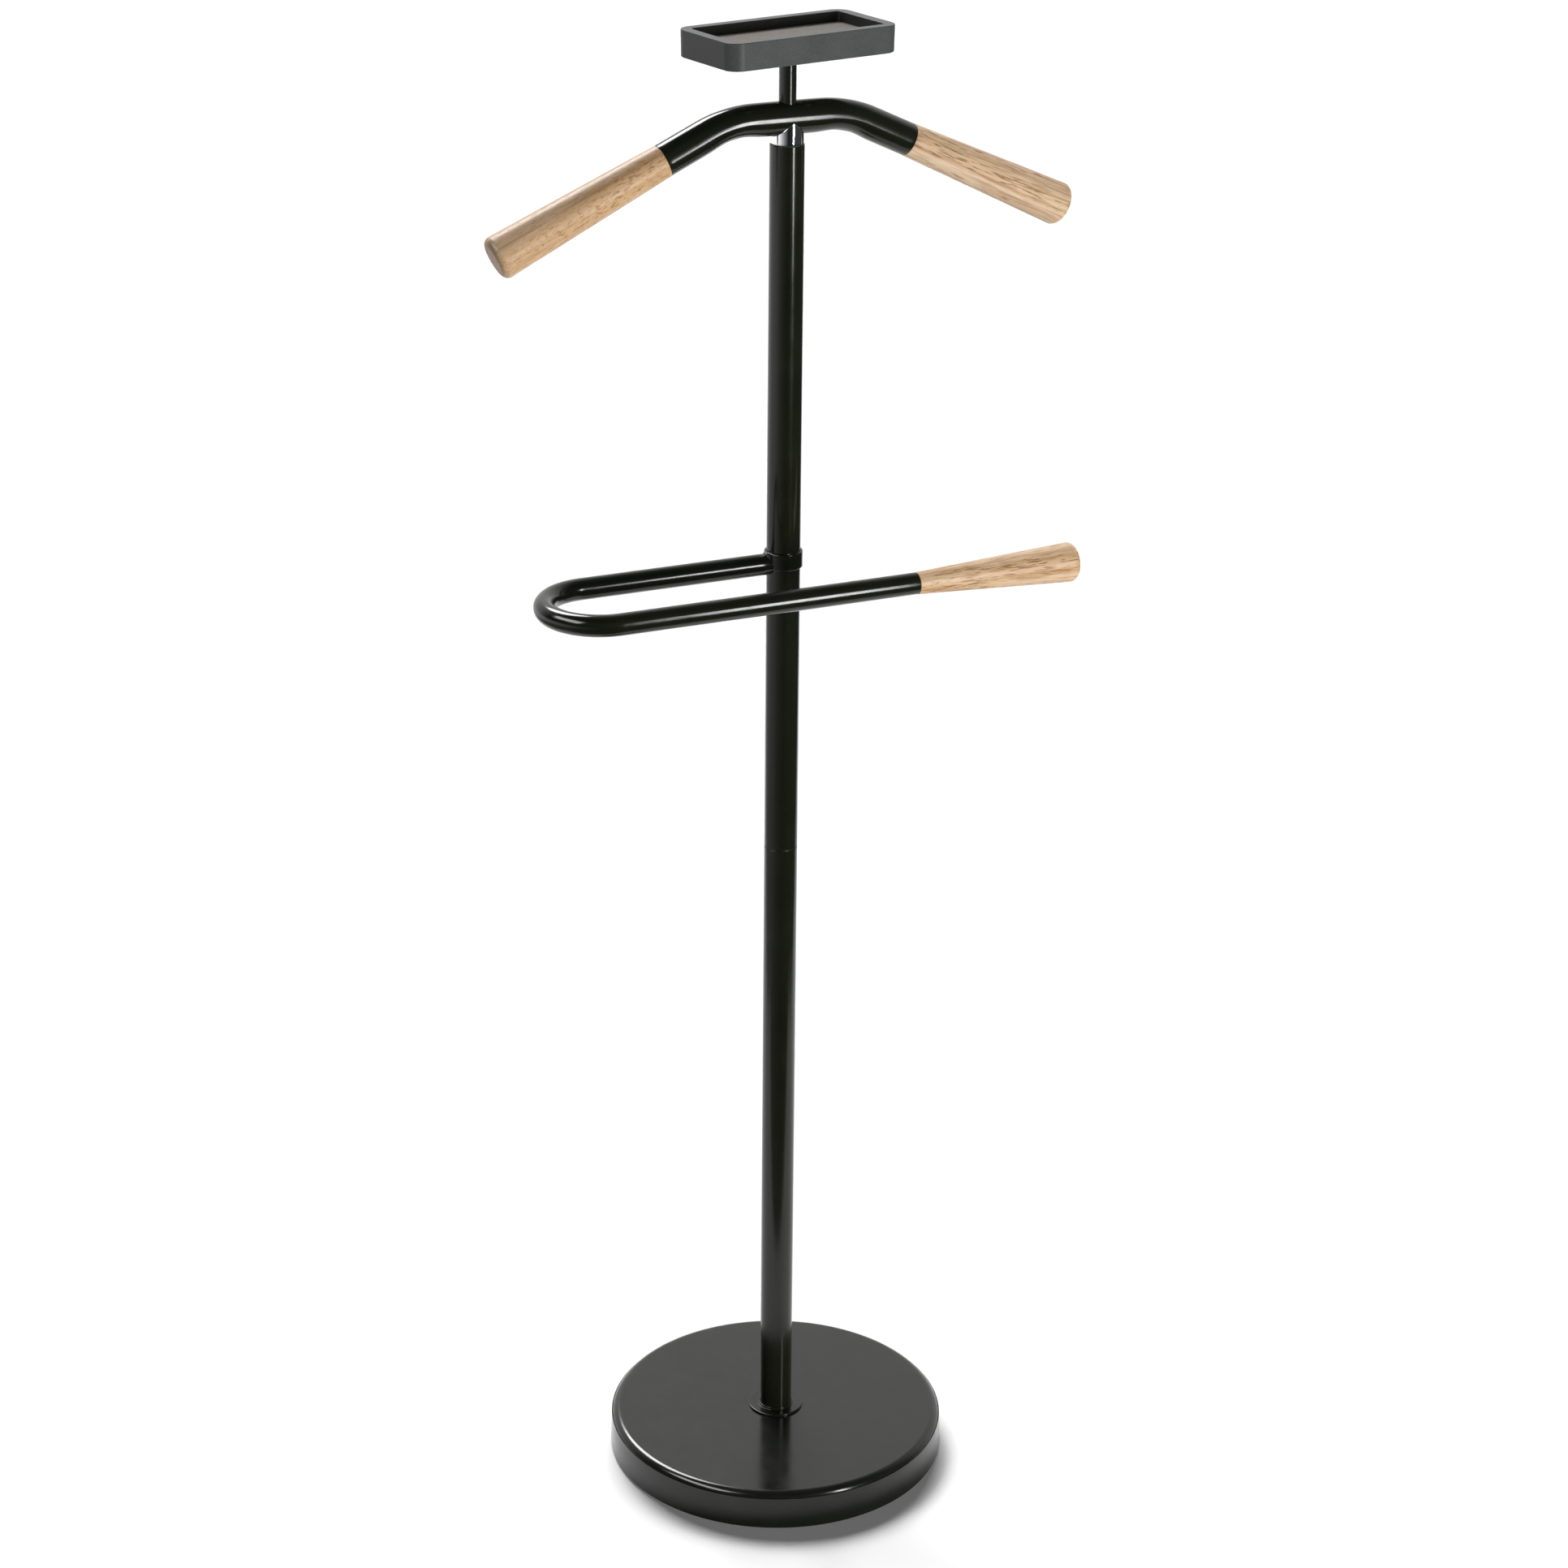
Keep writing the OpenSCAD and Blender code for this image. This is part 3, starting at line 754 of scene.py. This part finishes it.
def build_hanger_bar(axis_z, tube_r):
    run = HANGER_BEND_R * math.tan(HANGER_SLOPE / 2)
    start = hanger_grip_place(-1).translation
    arm = (axis_z - start.z) / math.sin(HANGER_SLOPE) - run
    bend_length = HANGER_BEND_R * HANGER_SLOPE
    half = HANGER_FLAT + bend_length + arm
    pinch_at = HANGER_FLAT + bend_length * 0.45
    pinch_span, inner_pinch, outer_pinch = 27 * MM, 0.13, 0.03
    arm_step, bend_step = 2.5 * MM, 1.5 * MM

    path = Path(start, (math.cos(HANGER_SLOPE), 0, math.sin(HANGER_SLOPE)), (0, -1, 0))
    path.straight(TUBE_EDGE, TUBE_EDGE)
    path.straight(arm - TUBE_EDGE, arm_step)
    path.bend(HANGER_BEND_R, -HANGER_SLOPE, bend_step)
    path.straight(2 * HANGER_FLAT, bend_step)
    path.bend(HANGER_BEND_R, -HANGER_SLOPE, bend_step)
    path.straight(arm - TUBE_EDGE, arm_step)
    path.straight(TUBE_EDGE, TUBE_EDGE)

    def section(distance, angle):
        """Each bend is pinched on its inner side, which leaves the centre standing proud below."""
        away = abs(distance - half)
        share = 0.0
        if abs(away - pinch_at) < pinch_span:
            share = 0.5 + 0.5 * math.cos(math.pi * (away - pinch_at) / pinch_span)
        below = max(0.0, -math.cos(angle))
        above = max(0.0, math.cos(angle))
        return 1 - inner_pinch * share * below ** 1.5 - outer_pinch * share * above ** 2

    loops = swept_tube(path, tube_r, HANGER_WALL, 72, section)
    loops[0] = [start + (point - start) * (1 - TUBE_EDGE / tube_r) for point in loops[0]]
    skin("hanger_bar", loops, "hanger", tube_paint, closed=True, replaces=["hanger_tube"])


def build_neck(axis_z, tube_r):
    """The plated sleeve, cut to the underside of the hanger tube at its top."""
    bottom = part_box("hanger_neck")[0].z
    neck_r = radius_of("hanger_neck")
    wall, edge, weld_overlap = 1.4 * MM, 0.35 * MM, 0.15 * MM
    inner = neck_r - wall
    around = angles(128)
    foot = bottom + edge

    def saddle(radius, angle):
        """The height at which a wall of this radius meets the hanger tube."""
        return axis_z - math.sqrt(max(tube_r ** 2 - (radius * math.sin(angle)) ** 2, 0)) + weld_overlap

    def ring(radius, height_at):
        return [(radius * math.cos(a), radius * math.sin(a), height_at(a)) for a in around]

    loops = [
        ring(inner, lambda a: bottom),
        ring(neck_r - edge, lambda a: bottom),
        ring(neck_r - 0.3 * edge, lambda a: bottom + 0.3 * edge),
        ring(neck_r, lambda a: foot),
    ]
    rise = 10
    for step in range(1, rise + 1):
        loops.append(ring(neck_r, lambda a: foot + (saddle(neck_r, a) - foot) * step / rise))
    loops.append(ring(inner, lambda a: saddle(inner, a)))
    skin("neck_sleeve", loops, "hanger", chrome, closed=True, replaces=["hanger_neck"])


def build_hanger():
    low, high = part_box("hanger_tube")
    tube_r = (high.y - low.y) / 2
    axis_z = high.z - tube_r
    build_hanger_bar(axis_z, tube_r)
    build_neck(axis_z, tube_r)


# ---------------------------------------------------------------- tray


def capped(loops, place, low_z, high_z):
    """Loops closed by a point in the middle at each end."""
    return [[place @ Vector((0, 0, low_z))], *loops, [place @ Vector((0, 0, high_z))]]


def build_tray_body(place):
    low, high = local_box("tray_body", place)
    floor_z = high.z - RECESS_DEPTH
    draft = 0.35 * MM
    core, least_corner = 31 * MM, 2.6 * MM
    outline = soft_corners([
        (core, low.z, 0),
        (draft, low.z, 1.0 * MM),
        (0, high.z, 0.55 * MM),
        (TRAY_RIM, high.z, 0.6 * MM),
        (TRAY_RIM + draft, floor_z, 1.2 * MM),
        (core, floor_z, 0),
    ])
    loops = plate_loops(outline, high.x - low.x, high.y - low.y, TRAY_CORNER_R, least_corner, place)
    loops = capped(loops, place, low.z, floor_z)
    skin("tray_moulding", loops, "tray", charcoal, replaces=["tray_body"])


def build_tray_mat(place):
    low, high = local_box("tray_mat", place)
    length, width = high.x - low.x, high.y - low.y
    core, corner, least_corner = 25 * MM, 2.4 * MM, 1.2 * MM
    outline = soft_corners([
        (core, low.z, 0), (0, low.z, 0.15 * MM), (0, high.z, 0.5 * MM), (core, high.z, 0),
    ])
    loops = capped(plate_loops(outline, length, width, corner, least_corner, place), place, low.z, high.z)
    mat = skin("felt_mat", loops, "tray", felt, replaces=["tray_mat"])


def build_tray_plate(place):
    """The plate under the tray, with a round hole for the post and broken lower edges."""
    low, high = local_box("tray_plate", place)
    length, width = high.x - low.x, high.y - low.y
    post_r, corner, flare = radius_of("tray_post"), 5 * MM, 0.4 * MM

    def plate_ring(inset, height):
        ring = rounded_rectangle(length - 2 * inset, width - 2 * inset, corner - inset)
        return [place @ Vector((x, y, height)) for x, y in ring]

    def hole_ring(radius, height):
        ring = []
        for x, y in rounded_rectangle(length, width, corner):
            a = math.atan2(y, x)
            ring.append(place @ Vector((radius * math.cos(a), radius * math.sin(a), height)))
        return ring

    loops = [
        plate_ring(0.5 * MM, low.z),
        plate_ring(0.12 * MM, low.z + 0.15 * MM),
        plate_ring(0, low.z + 0.5 * MM),
        plate_ring(0, high.z),
        hole_ring(post_r, high.z),
        hole_ring(post_r, low.z),
        hole_ring(post_r + flare, low.z),
    ]
    skin("mount_plate", loops, "tray", tube_paint, closed=True, replaces=["tray_plate"])


def screw_loops(shank_r, shank_l, head_r, head_h):
    """Loops of a pan-head screw whose head hangs below the plate at z = 0, with a cross recess."""
    segments = 48
    tip_l = 1.5 * MM
    outline = [
        (0, shank_l),
        (shank_r * 0.4, shank_l),
        (shank_r, shank_l - tip_l),
        (shank_r, 0),
        (head_r, 0),
        (head_r, -0.5 * head_h),
        (head_r * 0.93, -0.74 * head_h),
        (head_r * 0.78, -0.92 * head_h),
        (head_r * 0.60, -head_h),
    ]
    recess = ((head_r * 0.50, 0.34 * MM, -head_h), (head_r * 0.34, 0.26 * MM, -0.25 * head_h))

    def cross(radius, half_slot, angle):
        """How far the cross recess reaches from its middle at an angle."""
        off_arm = (angle + math.pi / 4) % (math.pi / 2) - math.pi / 4
        if abs(math.tan(off_arm)) < half_slot / radius:
            return radius / math.cos(off_arm)
        return half_slot / abs(math.sin(off_arm))

    loops = turned_loops(outline, segments)
    for radius, half_slot, height in recess:
        ring = []
        for a in angles(segments):
            reach = cross(radius, half_slot, a)
            ring.append((reach * math.cos(a), reach * math.sin(a), height))
        loops.append(ring)
    loops.append([(0, 0, -0.2 * head_h)])
    return loops


def build_tray_screws(place):
    low, high = local_box("tray_screws", place)
    head_r, head_h, shank_r = 3.1 * MM, 1.6 * MM, 1.6 * MM
    out_x, out_y = (high.x - low.x) / 2 - head_r, (high.y - low.y) / 2 - head_r
    plate_z = low.z + head_h
    loops = screw_loops(shank_r, high.z - plate_z, head_r, head_h)
    screws = []
    for side_x in (-1, 1):
        for side_y in (-1, 1):
            spot = place @ Matrix.Translation((side_x * out_x, side_y * out_y, plate_z))
            screws.append([[spot @ Vector(p) for p in loop] for loop in loops])
    finish_piece("mount_screws", mesh_of("mount_screws", screws), "tray", zinc, ["tray_screws"])


def build_tray():
    place = turned(TRAY_TURN)
    build_tray_body(place)
    build_tray_mat(place)
    low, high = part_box("tray_post")
    outline = tube_outline(radius_of("tray_post"), POST_WALL, low.z, high.z, TUBE_EDGE)
    lathe("post_tube", outline, "tray", tube_paint, 96, replaces=["tray_post"])
    build_tray_plate(place)
    build_tray_screws(place)


rail_tube_r = (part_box("trouser_rail")[1].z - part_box("trouser_rail")[0].z) / 2
hanger_tube_r = (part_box("hanger_tube")[1].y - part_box("hanger_tube")[0].y) / 2

build_base()
build_pole()
build_rail()
build_grip("rail_grip_wood", "rail_grip", "rail", rail_wood, rail_grip_place(), rail_tube_r + GRIP_STEP)
for grip_name, node_name, wood, side in (
    ("left_grip_wood", "left_grip", left_wood, -1),
    ("right_grip_wood", "right_grip", right_wood, 1),
):
    build_grip(grip_name, node_name, "hanger", wood, hanger_grip_place(side), hanger_tube_r + GRIP_STEP)
build_hanger()
build_tray()


# ---------------------------------------------------------------- carried-over CAD nodes

CARRIED = {
    "base_plate": base_paint,
    "base_weight": ballast,
    "base_washer": zinc,
    "base_bolt": zinc,
    "foot_plug": zinc,
    "joiner_socket": zinc,
    "joiner_stud": zinc,
    "collar_spindle": zinc,
    "upper_socket": zinc,
    "top_plug": zinc,
    "swivel_washer": nylon,
    "neck_bush": nylon,
    "rail_end_plug": zinc,
    "rail_stud": zinc,
    "hanger_end_plugs": zinc,
    "hanger_studs": zinc,
}
for node_name, node_material in CARRIED.items():
    node_mesh = nodes[node_name].data
    node_mesh.materials.clear()
    node_mesh.materials.append(node_material)


# ---------------------------------------------------------------- floor, light and camera


def bearing(angle, distance, height):
    """A point round the stand: angle is in degrees to the right of the camera."""
    a = CAMERA_AZIMUTH + math.radians(angle)
    return Vector((distance * math.cos(a), distance * math.sin(a), height))


def seen_from_camera(right, toward):
    """A point on the floor, by its distances to the right of the pole and towards the camera."""
    return bearing(90, right, 0) + bearing(0, toward, 0)


def softbox(name, place, target, width, height, radiance):
    """A rectangular light that the camera doesn't see."""
    light = bpy.data.lights.new(name, "AREA")
    light.shape = "RECTANGLE"
    light.size, light.size_y = width, height
    light.energy = radiance * math.pi * width * height
    holder = bpy.data.objects.new(name, light)
    holder.location = place
    holder.rotation_mode = "QUATERNION"
    holder.rotation_quaternion = (Vector(target) - place).to_track_quat("-Z", "Y")
    holder.visible_camera = False
    bpy.context.scene.collection.objects.link(holder)
    return holder


def flat_sheet(name, spots, material):
    """A flat sheet on the floor between corners given as seen from the camera."""
    corners = [seen_from_camera(*spot) for spot in spots]
    mesh = bpy.data.meshes.new(name)
    mesh.from_pydata(corners, [], [tuple(range(len(corners)))])
    mesh.materials.append(material)
    sheet = bpy.data.objects.new(name, mesh)
    bpy.context.scene.collection.objects.link(sheet)
    sheet.visible_shadow = False
    return sheet


def build_floor():
    """A wide floor that only the camera sees, and the lit floor that the stand mirrors, which ends a
    little in front of the base."""
    material = floor_material()
    wide = flat_sheet("studio_floor", FLOOR_CORNERS, material)
    wide.visible_diffuse = wide.visible_glossy = False
    lit = flat_sheet("lit_floor", LIT_CORNERS, material)
    lit.visible_camera = False
    return wide, lit


def build_world():
    """Surroundings that the dark paint mirrors: a bright wall behind the stand and a bright strip low
    on its left, and dark elsewhere. The camera itself sees a plain pale backdrop."""
    world = bpy.data.worlds.new("studio")
    bpy.context.scene.world = world
    world.use_nodes = True
    tree = world.node_tree
    tree.nodes.clear()
    direction = add(tree, "ShaderNodeTexCoord").outputs["Generated"]
    height = add(tree, "ShaderNodeSeparateXYZ", {"Vector": direction}).outputs["Z"]

    def share(bearing_angle):
        """How far a direction points towards a bearing, from -1 to 1."""
        inputs = {0: direction, 1: bearing(bearing_angle, 1, 0)}
        return add(tree, "ShaderNodeVectorMath", inputs, operation="DOT_PRODUCT").outputs["Value"]

    behind = spread(tree, share(180), 0.15, 0.55, 0.08, SKY_RADIANCE)
    overhead = spread(tree, height, 0.58, 0.88, 1.0, 0.15)
    sky = maths(tree, "MULTIPLY", behind, overhead)
    leftward = spread(tree, share(-90), -0.10, 0.75, 0.05, HORIZON_LEFT_RADIANCE)
    forward = spread(tree, share(0), 0.35, 1.0, 1.0, 0.30)
    steep = spread(tree, height, -0.46, -0.22, 0.20, 1.0)
    ground = maths(tree, "MULTIPLY", maths(tree, "MULTIPLY", leftward, forward), steep)
    above = spread(tree, height, -0.06, 0.06)
    below = maths(tree, "SUBTRACT", 1.0, above)
    strength = maths(tree, "ADD", maths(tree, "MULTIPLY", sky, above), maths(tree, "MULTIPLY", ground, below))
    seen = add(tree, "ShaderNodeLightPath").outputs["Is Camera Ray"]
    strength = maths(tree, "MAXIMUM", strength, maths(tree, "MULTIPLY", seen, BACKDROP_RADIANCE))
    background = add(tree, "ShaderNodeBackground", {"Color": (1, 1, 1, 1), "Strength": strength})
    output = add(tree, "ShaderNodeOutputWorld")
    tree.links.new(background.outputs[0], output.inputs["Surface"])


def distant_light(name, side, rise, spread_angle, strength):
    """A far light at a bearing and a rise above the floor, both in degrees."""
    light = bpy.data.lights.new(name, "SUN")
    light.energy = strength
    light.angle = math.radians(spread_angle)
    holder = bpy.data.objects.new(name, light)
    holder.rotation_mode = "QUATERNION"
    towards = bearing(side, math.cos(math.radians(rise)), math.sin(math.radians(rise)))
    holder.rotation_quaternion = towards.to_track_quat("Z", "Y")
    bpy.context.scene.collection.objects.link(holder)
    return holder


def spare_floor(sheets, lights):
    """Keeps lights off the floor, where they would wash out the shadow under the base."""
    spared = bpy.data.collections.new("not_lit_from_the_front")
    for sheet in sheets:
        spared.objects.link(sheet)
    for light in lights:
        light.light_linking.receiver_collection = spared
    for link in spared.collection_objects:
        link.light_linking.link_state = "EXCLUDE"


def build_lights(floor_sheets):
    left = softbox("left_softbox", bearing(-62, 1.54, 1.84), target=(0, 0, 0),
                   width=1.5, height=0.6, radiance=12.0)
    left.visible_diffuse = False
    strip = softbox("front_strip", bearing(45, 1.7, 0.94), target=(0, 0, 0.94),
                    width=0.20, height=0.66, radiance=34.0)
    fill = softbox("fill", bearing(40, 2.6, 0.45), target=(0, 0, 0.9), width=1.0, height=1.0, radiance=22.0)
    fill.visible_glossy = False
    spare_floor(floor_sheets, (strip, fill))
    distant_light("key", side=-154, rise=47, spread_angle=24, strength=2.8)
    back = distant_light("back", side=-178, rise=42, spread_angle=26, strength=2.6)
    back.visible_glossy = False


def build_camera():
    turn = Matrix.Rotation(CAMERA_AZIMUTH + math.pi / 2, 3, "Z")
    forward = turn @ Vector((
        math.sin(CAMERA_PAN) * math.cos(CAMERA_PITCH),
        math.cos(CAMERA_PAN) * math.cos(CAMERA_PITCH),
        -math.sin(CAMERA_PITCH),
    ))
    level = forward.cross(UP).normalized()
    upright = level.cross(forward)
    right = level * math.cos(CAMERA_ROLL) + upright * math.sin(CAMERA_ROLL)
    up = upright * math.cos(CAMERA_ROLL) - level * math.sin(CAMERA_ROLL)
    data = bpy.data.cameras.new("camera")
    data.lens = CAMERA_LENS_MM
    data.sensor_width = CAMERA_SENSOR_MM
    data.shift_y = CAMERA_SHIFT_Y
    data.clip_start, data.clip_end = 0.05, 200.0
    camera = bpy.data.objects.new("camera", data)
    rotation = Matrix((right, up, -forward)).transposed()
    camera.matrix_world = Matrix.Translation(bearing(0, CAMERA_DISTANCE, CAMERA_HEIGHT)) @ rotation.to_4x4()
    bpy.context.scene.collection.objects.link(camera)
    bpy.context.scene.camera = camera


floor_sheets = build_floor()
build_world()
build_lights(floor_sheets)
build_camera()
bpy.context.scene.view_settings.view_transform = "Standard"
